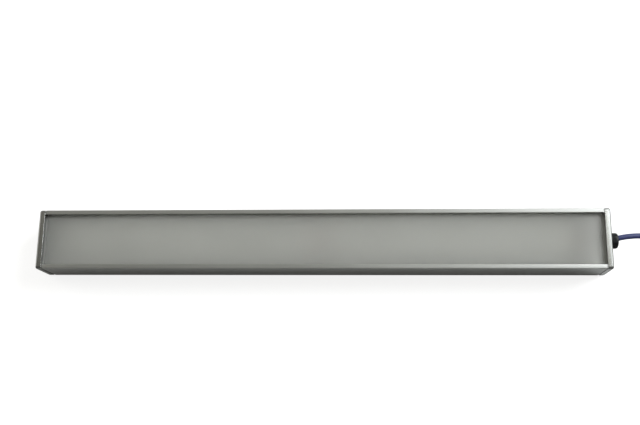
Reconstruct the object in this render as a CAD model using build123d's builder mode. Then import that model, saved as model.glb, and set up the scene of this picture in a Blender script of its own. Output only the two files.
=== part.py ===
from build123d import *
import os
from math import cos, pi, radians, sin, sqrt, tan

# Linear outdoor wall washer: an aluminium extrusion with a recessed opal cover, two flat end caps
# and a cable that leaves one end through a small gland.
#
# It lies on its back with the window up. X runs along the light (the cable leaves at +X), Y across
# it, Z out of the window. The origin is on the back plane, below the middle of the light. Millimetres.

# --- Outer form -----------------------------------------------------------------------------------
overall_length = 600.0
housing_width = 63.0
housing_depth = 42.0
housing_corner = 0.8
cap_thickness = 6.0
cap_overhang = 0.3  # the cap stands proud of the housing's two long sides
cap_corner = 2.8
cap_edge_round = 2.0
gasket_thickness = 1.5
gasket_inset = 0.4  # the gasket's rim lies this far inside the housing's outline

# --- Housing section ------------------------------------------------------------------------------
side_wall = 2.2
lip_width = 4.5  # from the housing's side to the edge of the window
lip_height = 5.6  # from the front face down to the cover
lip_edge_round = 0.4
ledge_width = 2.6
ledge_thickness = 1.5
web_thickness = 2.4
fin_depth = 9.0
fin_thickness = 1.5
fins_each_side = 3
channel_mouth = 8.2
channel_width = 14.0
channel_height = 5.0
channel_flange = 2.0
channel_wall = 2.0
port_radius = 2.9
port_hole = 2.7
rear_port_height = 4.2

# --- Cover and its seals --------------------------------------------------------------------------
cover_thickness = 3.0
cover_side_clearance = 0.5
cover_edge_chamfer = 0.3
cover_seal_thickness = 0.8
cover_seal_width = 1.8

# --- Light engine ---------------------------------------------------------------------------------
board_end_room = 18.5  # from the outer end of a board to the housing's end
board_width = 40.0
board_thickness = 1.6
board_spacing = 4.0  # between the two boards, at the middle of the light
pad_thickness = 0.5
led_size = 3.5
led_base_height = 0.9
led_dome_radius = 1.5
led_end_room = 16.0  # from each end of a board to its first LEDs and screws
leds_in_row = 11
led_row_offset = 10.0
board_screws_in_row = 3
regulator_size = (6.6, 6.1, 2.3)
regulator_leds = 6  # LED pitches between the two regulators of a board
resistor_size = (3.2, 1.6, 0.6)
resistor_offset = 7.0  # from the regulator's middle, along the board
terminal_size = (12.0, 12.0, 7.5)
terminal_from_board_end = 18.0
terminal_hole = 2.4

# --- Fasteners ------------------------------------------------------------------------------------
cap_screw_shank = 2.6
cap_screw_head = 5.6
cap_screw_length = 16.0
cap_screw_hole = 3.4
cap_screw_socket = 2.0
board_screw_shank = 2.4
board_screw_head = 5.2
board_screw_head_height = 1.8
board_screw_length = 5.6
board_screw_tapping = 2.5
board_screw_socket = 2.0
socket_depth = 1.2

# --- Sliding channel nuts -------------------------------------------------------------------------
nut_length = 16.0
nut_height = 4.4
nut_side_clearance = 0.3
nut_neck_clearance = 0.2
nut_lift = 0.25
nut_thread_hole = 4.2
nut_from_end = 100.0  # from the light's end to the middle of the nut, at rest

# --- Cable gland ----------------------------------------------------------------------------------
gland_y = 0.5
gland_z = 25.0
gland_flats = 15.0
gland_turned = 16.4  # the hexagons' corners are turned down to this diameter
gland_thread = 12.0
gland_hole = 12.3
gland_washer_thickness = 1.0
gland_flange_length = 2.6
gland_collar_length = 1.8
gland_collar_wall = 1.2
gland_shank_length = 14.0  # below the flange, through washer, cap and lock nut
gland_bore = 9.4
gland_nut_length = 5.2
gland_nut_round = 2.4
gland_nut_clearance = 0.3
gland_throat = 10.2
gland_mouth = 12.4
gland_seal_length = 5.0
locknut_thickness = 4.0

# --- Cable, coil and connector --------------------------------------------------------------------
cable_diameter = 5.7
cable_sleeve_gap = 0.05  # between the cable and the seal that grips it
jacket_inside = 14.0  # jacketed cable between the gland's inner end and the bare cores
core_diameter = 1.6
core_spread = 1.5  # between the two cores' middles in the cable
core_entry_spread = 5.0  # between them at the terminal
lead_reach = 95.0  # from the light's end to the start of the coil
lead_landing = 20.0  # of that, lying straight on the floor
coil_gap = 0.7
coil_middle_radius = 34.0
turns_in = 2.0
turns_out = 1.5
tie_width = 6.0
tie_thickness = 0.9
tie_gap = 0.35
floor_gap = 0.1
relief_tip_radius = 3.7
relief_length = 14.0
grip_radius = 6.0
grip_length = 16.0
plug_neck_radius = 4.6
plug_neck_length = 12.0
plug_socket_depth = 8.0
plug_wall = 0.8
coupling_radius = 7.3
coupling_length = 11.0
coupling_clearance = 0.3
coupling_grooves = 16
coupling_groove_radius = 0.55
pin_radius = 0.5
pin_length = 6.0
pin_circle = 1.9
pins = 4
plug_seal_radius = 0.6

# --- Places worked out from the sizes above ---------------------------------------------------------
half_length = overall_length / 2
cap_width = housing_width + 2 * cap_overhang
cap_inner_x = half_length - cap_thickness
housing_end_x = cap_inner_x - gasket_thickness
housing_length = 2 * housing_end_x
inner_half = housing_width / 2 - side_wall
web_top = fin_depth + web_thickness
cover_top = housing_depth - lip_height
cover_bottom = cover_top - cover_thickness
ledge_top = cover_bottom - cover_seal_thickness
ledge_bottom = ledge_top - ledge_thickness
window_width = housing_width - 2 * lip_width
channel_block_half = channel_width / 2 + channel_wall
fin_room = inner_half - channel_block_half
fin_gap = (fin_room - fins_each_side * fin_thickness) / (fins_each_side + 1)
fin_pitch = fin_gap + fin_thickness
fin_gap_places = [
    (side * (channel_block_half + fin_gap / 2 + k * fin_pitch), 0)
    for side in (-1, 1)
    for k in range(fins_each_side + 1)
]
port_y = inner_half - port_radius * 0.9
front_port_z = ledge_bottom - port_radius * 0.9
port_places = [(side * port_y, z) for side in (-1, 1) for z in (rear_port_height, front_port_z)]

board_length = housing_end_x - board_end_room - board_spacing / 2
board_middle_x = (board_spacing + board_length) / 2
led_pitch = (board_length - 2 * led_end_room) / (leds_in_row - 1)
board_screw_pitch = (board_length - 2 * led_end_room) / (board_screws_in_row - 1)
regulator_pitch = regulator_leds * led_pitch
pad_top = web_top + pad_thickness
board_top = pad_top + board_thickness
board_screw_y = channel_block_half + fin_gap / 2 + fin_pitch
board_screw_places = [
    (side * board_middle_x + k * board_screw_pitch, row * board_screw_y)
    for side in (-1, 1)
    for k in (i - (board_screws_in_row - 1) / 2 for i in range(board_screws_in_row))
    for row in (-1, 1)
]
regulator_places = [
    (side * board_middle_x + end * regulator_pitch / 2, 0) for side in (-1, 1) for end in (-1, 1)
]
terminal_x = board_middle_x + board_length / 2 - terminal_from_board_end
terminal_face_x = terminal_x + terminal_size[0] / 2
terminal_hole_z = board_top + terminal_size[2] / 2
nut_place = half_length - nut_from_end

gland_face_x = half_length + gland_washer_thickness
gland_nut_x = gland_face_x + gland_flange_length + 0.2
gland_tip_x = gland_nut_x + gland_nut_length
gland_inner_x = gland_face_x - gland_shank_length
gland_seal_x = gland_face_x + gland_flange_length + gland_collar_length - 0.4
gland_axis = Plane(origin=(0, gland_y, gland_z), x_dir=(0, 1, 0), z_dir=(1, 0, 0))

cable_radius = cable_diameter / 2
jacket_end_x = gland_inner_x - jacket_inside
coil_pitch = cable_diameter + coil_gap
coil_outer_radius = coil_middle_radius + turns_in * coil_pitch / 2
coil_inner_radius = coil_outer_radius - turns_in * coil_pitch
cable_rest_z = cable_radius + tie_thickness + tie_gap
coupling_z = coupling_radius + floor_gap

# The free lead: out of the gland at a slant, level past its mouth, then down to the floor.
lead_start_x = half_length - 10.0
coil_start = Vector(half_length + lead_reach, gland_y + 6.0, cable_rest_z)
lead_points = [
    Vector(lead_start_x, gland_y, gland_z),
    Vector(half_length - 0.9, gland_y, gland_z),
    Vector(half_length + 16.5, gland_y + 4.1, gland_z),
    Vector(half_length + 35.0, gland_y + 5.9, gland_z - 2.5),
    Vector(half_length + 51.0, gland_y + 6.4, gland_z / 2),
    Vector(coil_start.X - lead_landing, coil_start.Y, cable_rest_z),
    coil_start,
]
coil_middle = coil_start - Vector(0, coil_outer_radius, 0)


def run_radii(points, share=0.45):
    """The largest arc that each corner's two runs allow."""
    radii = []
    for before, corner, after in zip(points, points[1:], points[2:]):
        half_turn = radians((corner - before).get_angle(after - corner)) / 2
        radii.append(share * min((corner - before).length, (after - corner).length) / tan(half_turn))
    return radii


def tube_path(points):
    """Straight runs joined by tangent arcs."""
    with BuildLine() as path:
        FilletPolyline(*points, radius=run_radii(points))
    return path


def tube(points, radius):
    """A round tube along the path through points."""
    path = tube_path(points)
    with BuildPart() as made:
        with BuildSketch(Plane(origin=points[0], z_dir=points[1] - points[0])):
            Circle(radius)
        sweep(path=path.wire())
    return made


def coil_point(turns):
    """The coil's centreline: in along the floor, up a layer where it turns back, and out again."""
    angle = pi / 2 - 2 * pi * turns
    back = turns - turns_in
    if back <= 0:
        radius, rise = coil_outer_radius - coil_pitch * turns, 0
    elif back <= 0.5:
        radius = coil_inner_radius - coil_pitch * back + 2 * coil_pitch * back**2
        share = back / 0.5
        rise = coil_pitch * share**2 * (3 - 2 * share)
    else:
        radius, rise = coil_inner_radius + coil_pitch * (back - 0.5), coil_pitch
    return coil_middle + Vector(radius * cos(angle), radius * sin(angle), rise)


def coil_direction(turns, step=1e-4):
    """The coil's heading; both ends leave it square to the radius, where the straight runs meet it."""
    if turns in (0, turns_in + 0.5 + turns_out):
        return Vector(1, 0, 0)
    return (coil_point(turns + step) - coil_point(turns - step)).normalized()


def biarc(start, heading, end, end_heading):
    """Two arcs from start to end, tangent to both headings and to each other."""
    across = end - start
    both = heading + end_heading
    a = 2 * (1 - heading.dot(end_heading))
    b = 2 * across.dot(both)
    reach = (sqrt(b * b + 4 * a * across.dot(across)) - b) / (2 * a)
    first_arm = start + heading * reach
    second_arm = end - end_heading * reach
    joint = (first_arm + second_arm) * 0.5
    TangentArc(start, joint, tangent=heading)
    TangentArc(joint, end, tangent=second_arm - first_arm)


def hexagon(flats, turned):
    """A hexagon whose corners are turned down, with two corners on the sketch's x axis."""
    RegularPolygon(radius=flats / 2, side_count=6, major_radius=False)
    Circle(turned / 2, mode=Mode.INTERSECT)


def cap_screw():
    """Countersunk screw along -Z, with the top of its head at the origin."""
    head_radius, shank_radius = cap_screw_head / 2, cap_screw_shank / 2
    cone = head_radius - shank_radius
    with BuildPart() as screw:
        with BuildSketch(Plane.XZ):
            Polygon(
                (0, 0), (head_radius, 0), (shank_radius, -cone),
                (shank_radius, -cap_screw_length), (0, -cap_screw_length), align=None,
            )
        revolve(axis=Axis.Z)
        with BuildSketch():
            RegularPolygon(radius=cap_screw_socket / 2, side_count=6, major_radius=False)
        extrude(amount=-socket_depth, mode=Mode.SUBTRACT)
    return screw.part


def board_screw():
    """Pan head screw along -Z, with the underside of its head at the origin."""
    with BuildPart() as screw:
        Cylinder(
            board_screw_head / 2, board_screw_head_height,
            align=(Align.CENTER, Align.CENTER, Align.MIN),
        )
        fillet(screw.edges().sort_by(Axis.Z)[-1], board_screw_head_height * 0.45)
        Cylinder(
            board_screw_shank / 2, board_screw_length,
            align=(Align.CENTER, Align.CENTER, Align.MAX),
        )
        with BuildSketch(Plane.XY.offset(board_screw_head_height)):
            RegularPolygon(radius=board_screw_socket / 2, side_count=6, major_radius=False)
        extrude(amount=-socket_depth, mode=Mode.SUBTRACT)
    return screw.part


def save(built, name):
    """Label the finished piece and write it out."""
    built.part.label = name
    export_step(built.part, f"parts/{name}.step")


os.makedirs("parts", exist_ok=True)

# --- Housing: one extrusion with the window, light chamber, fins and back channel ---------------------
with BuildPart() as housing:
    with BuildSketch(Plane.YZ.offset(-housing_end_x)):
        RectangleRounded(housing_width, housing_depth, housing_corner, align=(Align.CENTER, Align.MIN))
        with Locations((0, web_top)):
            Rectangle(
                2 * inner_half, ledge_bottom - web_top,
                align=(Align.CENTER, Align.MIN), mode=Mode.SUBTRACT,
            )
        with Locations((0, ledge_bottom)):
            Rectangle(
                2 * (inner_half - ledge_width), ledge_thickness,
                align=(Align.CENTER, Align.MIN), mode=Mode.SUBTRACT,
            )
        with Locations((0, ledge_top)):
            Rectangle(
                2 * inner_half, cover_top - ledge_top,
                align=(Align.CENTER, Align.MIN), mode=Mode.SUBTRACT,
            )
        with Locations((0, cover_top)):
            Rectangle(
                window_width, lip_height,
                align=(Align.CENTER, Align.MIN), mode=Mode.SUBTRACT,
            )
        with Locations(*fin_gap_places):
            Rectangle(fin_gap, fin_depth, align=(Align.CENTER, Align.MIN), mode=Mode.SUBTRACT)
        Rectangle(channel_mouth, channel_flange, align=(Align.CENTER, Align.MIN), mode=Mode.SUBTRACT)
        with Locations((0, channel_flange)):
            Rectangle(
                channel_width, channel_height,
                align=(Align.CENTER, Align.MIN), mode=Mode.SUBTRACT,
            )
        with Locations(*port_places):
            Circle(port_radius)
        with Locations(*port_places):
            Circle(port_hole / 2, mode=Mode.SUBTRACT)
    extrude(amount=housing_length)
    lip_edges = housing.edges().filter_by(Axis.X).group_by(Axis.Z)[-1]
    fillet(lip_edges.filter_by(lambda e: abs(e.center().Y) < window_width / 2 + 0.01), lip_edge_round)
    with Locations(*[(x, y, web_top) for x, y in board_screw_places]):
        Hole(board_screw_tapping / 2, depth=web_thickness)
save(housing, "housing")

# --- Opal cover and the two strips that press it up against the lips ---------------------------------
with BuildPart() as cover:
    with Locations((0, 0, cover_bottom)):
        Box(
            housing_length, 2 * (inner_half - cover_side_clearance), cover_thickness,
            align=(Align.CENTER, Align.CENTER, Align.MIN),
        )
    chamfer(cover.edges().filter_by(Axis.X), cover_edge_chamfer)
save(cover, "cover")

seal_y = inner_half - ledge_width + cover_seal_width / 2
with BuildPart() as cover_seals:
    with Locations((0, -seal_y, ledge_top), (0, seal_y, ledge_top)):
        Box(
            housing_length, cover_seal_width, cover_seal_thickness,
            align=(Align.CENTER, Align.CENTER, Align.MIN),
        )
save(cover_seals, "cover_seals")


# --- End caps, gaskets and their screws --------------------------------------------------------------
def screw_seats(side):
    """Where the cap's screws sit, facing out of the cap's outer face."""
    return [Plane(origin=(side * half_length, y, z), z_dir=(side, 0, 0)) for y, z in port_places]


def end_cap(side):
    """A flat cap with rounded outer edges; the one at side +1 has the hole for the gland."""
    with BuildPart() as cap:
        with BuildSketch(Plane.YZ.offset(side * cap_inner_x)):
            RectangleRounded(cap_width, housing_depth, cap_corner, align=(Align.CENTER, Align.MIN))
        extrude(amount=side * cap_thickness)
        outer_face = cap.faces().sort_by(Axis.X)[-1 if side > 0 else 0]
        fillet(outer_face.edges(), min(cap_edge_round, cap_corner * 0.9, cap_thickness * 0.9))
        with Locations(*screw_seats(side)):
            CounterSinkHole(
                radius=cap_screw_hole / 2, counter_sink_radius=cap_screw_head / 2 + 0.1,
                depth=cap_thickness, counter_sink_angle=90,
            )
        if side > 0:
            with BuildSketch(Plane.YZ.offset(cap_inner_x)):
                with Locations((gland_y, gland_z)):
                    Circle(gland_hole / 2)
            extrude(amount=cap_thickness, mode=Mode.SUBTRACT)
    return cap


def end_gasket(side):
    """The rubber frame between cap and housing: full height at the lips, low across the window."""
    with BuildPart() as gasket:
        with BuildSketch(Plane.YZ.offset(side * housing_end_x)):
            with Locations((0, gasket_inset)):
                RectangleRounded(
                    housing_width - 2 * gasket_inset, housing_depth - 2 * gasket_inset, housing_corner,
                    align=(Align.CENTER, Align.MIN),
                )
            with Locations((0, cover_top)):
                Rectangle(
                    window_width, lip_height,
                    align=(Align.CENTER, Align.MIN), mode=Mode.SUBTRACT,
                )
            with Locations((0, web_top)):
                Rectangle(
                    2 * (port_y - port_radius), cover_bottom - web_top,
                    align=(Align.CENTER, Align.MIN), mode=Mode.SUBTRACT,
                )
            with Locations(*port_places):
                Circle(cap_screw_hole / 2, mode=Mode.SUBTRACT)
        extrude(amount=side * gasket_thickness)
    return gasket


for side, end in ((-1, "left"), (1, "right")):
    save(end_cap(side), f"end_cap_{end}")
    save(end_gasket(side), f"end_gasket_{end}")

with BuildPart() as end_cap_screws:
    with Locations(*screw_seats(-1), *screw_seats(1)):
        add(cap_screw())
save(end_cap_screws, "end_cap_screws")

# --- Light engine: two boards on heat pads, with their parts -----------------------------------------
for side, end in ((-1, "left"), (1, "right")):
    on_this_board = [place for place in board_screw_places if place[0] * side > 0]
    with BuildPart() as led_board:
        with Locations((side * board_middle_x, 0, pad_top)):
            Box(board_length, board_width, board_thickness, align=(Align.CENTER, Align.CENTER, Align.MIN))
        with Locations(*[(x, y, board_top) for x, y in on_this_board]):
            Hole(cap_screw_hole / 2, depth=board_thickness)
    save(led_board, f"led_board_{end}")

with BuildPart() as heat_pads:
    with Locations(*[(side * board_middle_x, 0, web_top) for side in (-1, 1)]):
        Box(board_length, board_width, pad_thickness, align=(Align.CENTER, Align.CENTER, Align.MIN))
    with Locations(*[(x, y, pad_top) for x, y in board_screw_places]):
        Hole(cap_screw_hole / 2, depth=pad_thickness)
save(heat_pads, "heat_pads")

with BuildPart() as led:
    Box(led_size, led_size, led_base_height, align=(Align.CENTER, Align.CENTER, Align.MIN))
    with Locations((0, 0, led_base_height)):
        Sphere(led_dome_radius, arc_size1=0, align=(Align.CENTER, Align.CENTER, Align.MIN))
with BuildPart() as leds:
    for side in (-1, 1):
        with Locations((side * board_middle_x, 0, board_top)):
            with GridLocations(led_pitch, 2 * led_row_offset, leds_in_row, 2):
                add(led.part)
save(leds, "leds")

with BuildPart() as regulators:
    with Locations(*[(x, y, board_top) for x, y in regulator_places]):
        Box(*regulator_size, align=(Align.CENTER, Align.CENTER, Align.MIN))
    chamfer(regulators.faces().group_by(Axis.Z)[-1].edges(), 0.3)
save(regulators, "regulators")

resistor_places = [(x + end * resistor_offset, y) for x, y in regulator_places for end in (-1, 1)]
with BuildPart() as resistors:
    with Locations(*[(x, y, board_top) for x, y in resistor_places]):
        Box(*resistor_size, align=(Align.CENTER, Align.CENTER, Align.MIN))
save(resistors, "resistors")

with BuildPart() as board_screws:
    with Locations(*[(x, y, board_top) for x, y in board_screw_places]):
        add(board_screw())
save(board_screws, "board_screws")

core_exits = [(side * core_entry_spread / 2, terminal_hole_z) for side in (-1, 1)]
with BuildPart() as supply_terminal:
    with Locations((terminal_x, 0, board_top)):
        Box(*terminal_size, align=(Align.CENTER, Align.CENTER, Align.MIN))
    chamfer(supply_terminal.faces().sort_by(Axis.Z)[-1].edges(), 0.6)
    with BuildSketch(Plane.YZ.offset(terminal_face_x)):
        with Locations(*core_exits):
            Circle(terminal_hole / 2)
    extrude(amount=-terminal_size[0] / 2, mode=Mode.SUBTRACT)
save(supply_terminal, "supply_terminal")

# Two short links carry the supply from board to board, arching over the space between them.
link_reach = board_spacing / 2 + 4.0
with BuildPart() as board_links:
    for y in (-core_entry_spread, core_entry_spread):
        link_points = [
            Vector(-link_reach, y, board_top),
            Vector(-link_reach, y, board_top + 3.6),
            Vector(0, y, board_top + 4.4),
            Vector(link_reach, y, board_top + 3.6),
            Vector(link_reach, y, board_top),
        ]
        add(tube(link_points, core_diameter / 2).part)
save(board_links, "board_links")

# --- Channel nuts -----------------------------------------------------------------------------------
nut_bottom = channel_flange + nut_lift
for side, end in ((-1, "left"), (1, "right")):
    with BuildPart() as channel_nut:
        with Locations((side * nut_place, 0, nut_bottom)):
            Box(
                nut_length, channel_width - 2 * nut_side_clearance, nut_height,
                align=(Align.CENTER, Align.CENTER, Align.MIN),
            )
        chamfer(channel_nut.edges().filter_by(Axis.X).group_by(Axis.Z)[-1], nut_height * 0.2)
        with Locations((side * nut_place, 0, nut_bottom)):
            Box(
                nut_length, channel_mouth - 2 * nut_neck_clearance, nut_bottom - nut_lift * 2,
                align=(Align.CENTER, Align.CENTER, Align.MAX),
            )
        with Locations((side * nut_place, 0, nut_bottom + nut_height)):
            Hole(nut_thread_hole / 2)
    save(channel_nut, f"channel_nut_{end}")

# --- Cable gland ------------------------------------------------------------------------------------
with BuildPart() as gland_washer:
    with BuildSketch(gland_axis.offset(half_length)):
        Circle(gland_turned / 2 - 0.4)
        Circle(gland_hole / 2, mode=Mode.SUBTRACT)
    extrude(amount=gland_washer_thickness)
save(gland_washer, "gland_washer")

with BuildPart() as gland_body:
    with BuildSketch(gland_axis.offset(gland_inner_x)):
        Circle(gland_thread / 2)
    extrude(amount=gland_shank_length)
    with BuildSketch(gland_axis.offset(gland_face_x)):
        hexagon(gland_flats, gland_turned)
    extrude(amount=gland_flange_length)
    with BuildSketch(gland_axis.offset(gland_face_x + gland_flange_length)):
        Circle(gland_bore / 2 + gland_collar_wall)
    extrude(amount=gland_collar_length)
    with BuildSketch(gland_axis.offset(gland_inner_x)):
        Circle(gland_bore / 2)
    extrude(amount=gland_shank_length + gland_flange_length + gland_collar_length, mode=Mode.SUBTRACT)
save(gland_body, "gland_body")

with BuildPart() as gland_locknut:
    with BuildSketch(gland_axis.offset(cap_inner_x - locknut_thickness)):
        hexagon(gland_flats, gland_turned)
        Circle(gland_thread / 2 + 0.05, mode=Mode.SUBTRACT)
    extrude(amount=locknut_thickness)
save(gland_locknut, "gland_locknut")

# The nut's bell mouth leaves the slanting cable room on every side.
with BuildPart() as gland_nut:
    with BuildSketch(gland_axis.offset(gland_nut_x)):
        hexagon(gland_flats, gland_turned)
    extrude(amount=gland_nut_length)
    with BuildSketch(Plane(origin=gland_axis.origin, x_dir=(1, 0, 0), z_dir=(0, -1, 0))):
        with BuildLine():
            dome_radius = gland_turned / 2
            crest_radius = dome_radius - gland_nut_round
            dome_start = gland_tip_x - gland_nut_round
            Polyline(
                (gland_tip_x, 0), (gland_nut_x, 0), (gland_nut_x, dome_radius), (dome_start, dome_radius),
            )
            RadiusArc((dome_start, dome_radius), (gland_tip_x, crest_radius), gland_nut_round)
            Line((gland_tip_x, crest_radius), (gland_tip_x, 0))
        make_face()
    revolve(axis=Axis(gland_axis.origin, (1, 0, 0)), mode=Mode.INTERSECT)
    collar_room = gland_collar_length + gland_nut_clearance
    with BuildSketch(gland_axis.offset(gland_nut_x)):
        Circle(gland_bore / 2 + gland_collar_wall + gland_nut_clearance)
    extrude(amount=collar_room, mode=Mode.SUBTRACT)
    with BuildSketch(gland_axis.offset(gland_nut_x + collar_room)):
        Circle(gland_throat / 2)
    with BuildSketch(gland_axis.offset(gland_tip_x)):
        Circle(gland_mouth / 2)
    loft(mode=Mode.SUBTRACT)
save(gland_nut, "gland_nut")

with BuildPart() as gland_seal:
    with BuildSketch(gland_axis.offset(gland_seal_x - gland_seal_length)):
        Circle(gland_bore / 2)
    extrude(amount=gland_seal_length)
    add(tube(lead_points[:3], cable_radius + cable_sleeve_gap).part, mode=Mode.SUBTRACT)
save(gland_seal, "gland_seal")

# --- Cable inside the light --------------------------------------------------------------------------
with BuildPart() as inlet_cable:
    with BuildSketch(gland_axis.offset(jacket_end_x)):
        Circle(cable_radius)
    extrude(amount=lead_start_x - jacket_end_x)
save(inlet_cable, "inlet_cable")

for side, name in ((-1, "core_negative"), (1, "core_positive")):
    core_points = [
        Vector(jacket_end_x, gland_y + side * core_spread / 2, gland_z),
        Vector(jacket_end_x - 4.0, gland_y + side * core_spread / 2, gland_z),
        Vector(terminal_face_x + 4.0, side * core_entry_spread / 2, terminal_hole_z),
        Vector(terminal_face_x - 4.0, side * core_entry_spread / 2, terminal_hole_z),
    ]
    save(tube(core_points, core_diameter / 2), name)

# --- Free lead, put-away coil and tail ---------------------------------------------------------------
cable_lead = tube(lead_points, cable_radius)
save(cable_lead, "cable_lead")

quarters = round(4 * (turns_in + 0.5 + turns_out))
with BuildLine() as coil_path:
    for k in range(quarters):
        here, there = k / 4, (k + 1) / 4
        biarc(coil_point(here), coil_direction(here), coil_point(there), coil_direction(there))
coil_wire = coil_path.wire()
with BuildPart() as cable_coil:
    with BuildSketch(Plane(origin=coil_point(0), z_dir=coil_direction(0))):
        Circle(cable_radius)
    sweep(path=coil_wire)
save(cable_coil, "cable_coil")

coil_end = coil_point(quarters / 4)
tail_points = [
    coil_end,
    coil_end + Vector(11.5, 0, 0),
    Vector(coil_end.X + 23.5, coil_end.Y + 3.0, coupling_z),
    Vector(coil_end.X + 34.5, coil_end.Y + 6.2, coupling_z),
]
cable_tail = tube(tail_points, cable_radius)
save(cable_tail, "cable_tail")

# The tie holds the four stacked turns on the side of the coil that faces the light.
tie_inner = coil_outer_radius - 1.75 * coil_pitch - cable_radius - tie_gap
tie_outer = coil_outer_radius - 0.75 * coil_pitch + cable_radius + tie_gap
tie_low = cable_rest_z - cable_radius - tie_gap
tie_high = cable_rest_z + coil_pitch + cable_radius + tie_gap
tie_middle = (coil_middle.X - (tie_inner + tie_outer) / 2, (tie_low + tie_high) / 2)
with BuildPart() as coil_tie:
    with BuildSketch(Plane.XZ.offset(-coil_middle.Y - tie_width / 2)):
        with Locations(tie_middle):
            RectangleRounded(
                tie_outer - tie_inner + 2 * tie_thickness, tie_high - tie_low + 2 * tie_thickness,
                cable_radius,
            )
            RectangleRounded(
                tie_outer - tie_inner, tie_high - tie_low, cable_radius - tie_thickness, mode=Mode.SUBTRACT,
            )
    extrude(amount=tie_width)
save(coil_tie, "coil_tie")

# --- Connector on the cable's far end ----------------------------------------------------------------
plug = Plane(origin=tail_points[-1], z_dir=tail_points[-1] - tail_points[-2])
neck_start = relief_length + grip_length
plug_length = neck_start + plug_neck_length
with BuildPart() as plug_body:
    with BuildSketch(plug):
        Circle(relief_tip_radius)
    with BuildSketch(plug.offset(relief_length)):
        Circle(grip_radius - 0.8)
    loft()
    with BuildSketch(plug.offset(relief_length)):
        Circle(grip_radius)
    extrude(amount=grip_length)
    with BuildSketch(plug.offset(neck_start)):
        Circle(plug_neck_radius)
    extrude(amount=plug_neck_length)
    with BuildSketch(plug.offset(plug_length - plug_socket_depth)):
        Circle(plug_neck_radius - plug_wall)
    extrude(amount=plug_socket_depth, mode=Mode.SUBTRACT)
    groove = 0.5
    with BuildSketch(plug.offset(relief_length)):
        with PolarLocations(grip_radius + groove, 8):
            Circle(2 * groove)
    extrude(amount=grip_length, mode=Mode.SUBTRACT)
save(plug_body, "plug_body")

with BuildPart() as plug_insert:
    with BuildSketch(plug.offset(plug_length - plug_socket_depth)):
        Circle(plug_neck_radius - plug_wall)
    extrude(amount=plug_socket_depth - pin_length)
save(plug_insert, "plug_insert")

with BuildPart() as plug_pins:
    with BuildSketch(plug.offset(plug_length - pin_length)):
        with PolarLocations(pin_circle, pins):
            Circle(pin_radius)
    extrude(amount=pin_length - 1.0)
save(plug_pins, "plug_pins")

with BuildPart() as plug_seal:
    with BuildSketch(plug.offset(neck_start)):
        Circle(plug_neck_radius + 2 * plug_seal_radius)
        Circle(plug_neck_radius, mode=Mode.SUBTRACT)
    extrude(amount=2 * plug_seal_radius)
save(plug_seal, "plug_seal")

coupling_start = neck_start + 2 * plug_seal_radius + coupling_clearance
with BuildPart() as coupling_nut:
    with BuildSketch(plug.offset(coupling_start)):
        Circle(coupling_radius)
        Circle(plug_neck_radius + coupling_clearance, mode=Mode.SUBTRACT)
        with PolarLocations(coupling_radius, coupling_grooves):
            Circle(coupling_groove_radius, mode=Mode.SUBTRACT)
    extrude(amount=coupling_length)
save(coupling_nut, "coupling_nut")


# --- What the cable measures -------------------------------------------------------------------------
def report_tube(name, built, length):
    """Print a tube's volume beside its section times its length."""
    print(f"{name}: length {length:.1f}, volume {built.part.volume:.1f}, "
          f"section x length {pi * cable_radius**2 * length:.1f}")


print("lead radii", [round(r, 1) for r in run_radii(lead_points)])
print("tail radii", [round(r, 1) for r in run_radii(tail_points)])
report_tube("lead", cable_lead, tube_path(lead_points).wire().length)
report_tube("coil", cable_coil, coil_wire.length)
report_tube("tail", cable_tail, tube_path(tail_points).wire().length)
samples = 480
coil_samples = [coil_wire @ (k / samples) for k in range(samples + 1)]
apart = int(samples / (quarters / 4) / 2)
least_gap = min(
    (coil_samples[i] - coil_samples[j]).length
    for i in range(samples + 1)
    for j in range(i + apart, samples + 1)
) - cable_diameter
print(f"coil's least gap to itself {least_gap:.2f}")
print(f"connector tip at {plug.offset(plug_length).origin}")
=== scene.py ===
from math import cos, pi, radians, sin, tau

import bmesh
import bpy
from bpy.props import FloatProperty, FloatVectorProperty, IntProperty, PointerProperty
from mathutils import Matrix, Vector


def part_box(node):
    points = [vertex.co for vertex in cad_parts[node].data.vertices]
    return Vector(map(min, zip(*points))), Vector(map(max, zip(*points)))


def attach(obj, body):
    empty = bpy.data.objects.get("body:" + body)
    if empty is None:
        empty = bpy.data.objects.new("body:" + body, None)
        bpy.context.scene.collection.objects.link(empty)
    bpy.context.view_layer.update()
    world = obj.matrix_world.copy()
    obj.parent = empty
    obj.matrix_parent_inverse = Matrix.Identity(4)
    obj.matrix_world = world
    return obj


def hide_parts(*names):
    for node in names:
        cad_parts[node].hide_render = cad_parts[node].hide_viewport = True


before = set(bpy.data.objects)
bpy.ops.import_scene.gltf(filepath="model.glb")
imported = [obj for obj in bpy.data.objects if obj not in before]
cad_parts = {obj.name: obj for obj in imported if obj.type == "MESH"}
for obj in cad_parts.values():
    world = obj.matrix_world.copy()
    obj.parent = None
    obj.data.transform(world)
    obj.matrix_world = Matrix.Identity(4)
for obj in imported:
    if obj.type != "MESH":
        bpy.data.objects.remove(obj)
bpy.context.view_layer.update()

bl_info = {
    "name": "Wall Washer Light",
    "version": (1, 0, 0),
    "blender": (4, 5, 0),
    "location": "3D View > Sidebar > Wall Washer",
    "description": "Dresses a linear wall washer light round its packed frame",
    "category": "Object",
}

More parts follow.
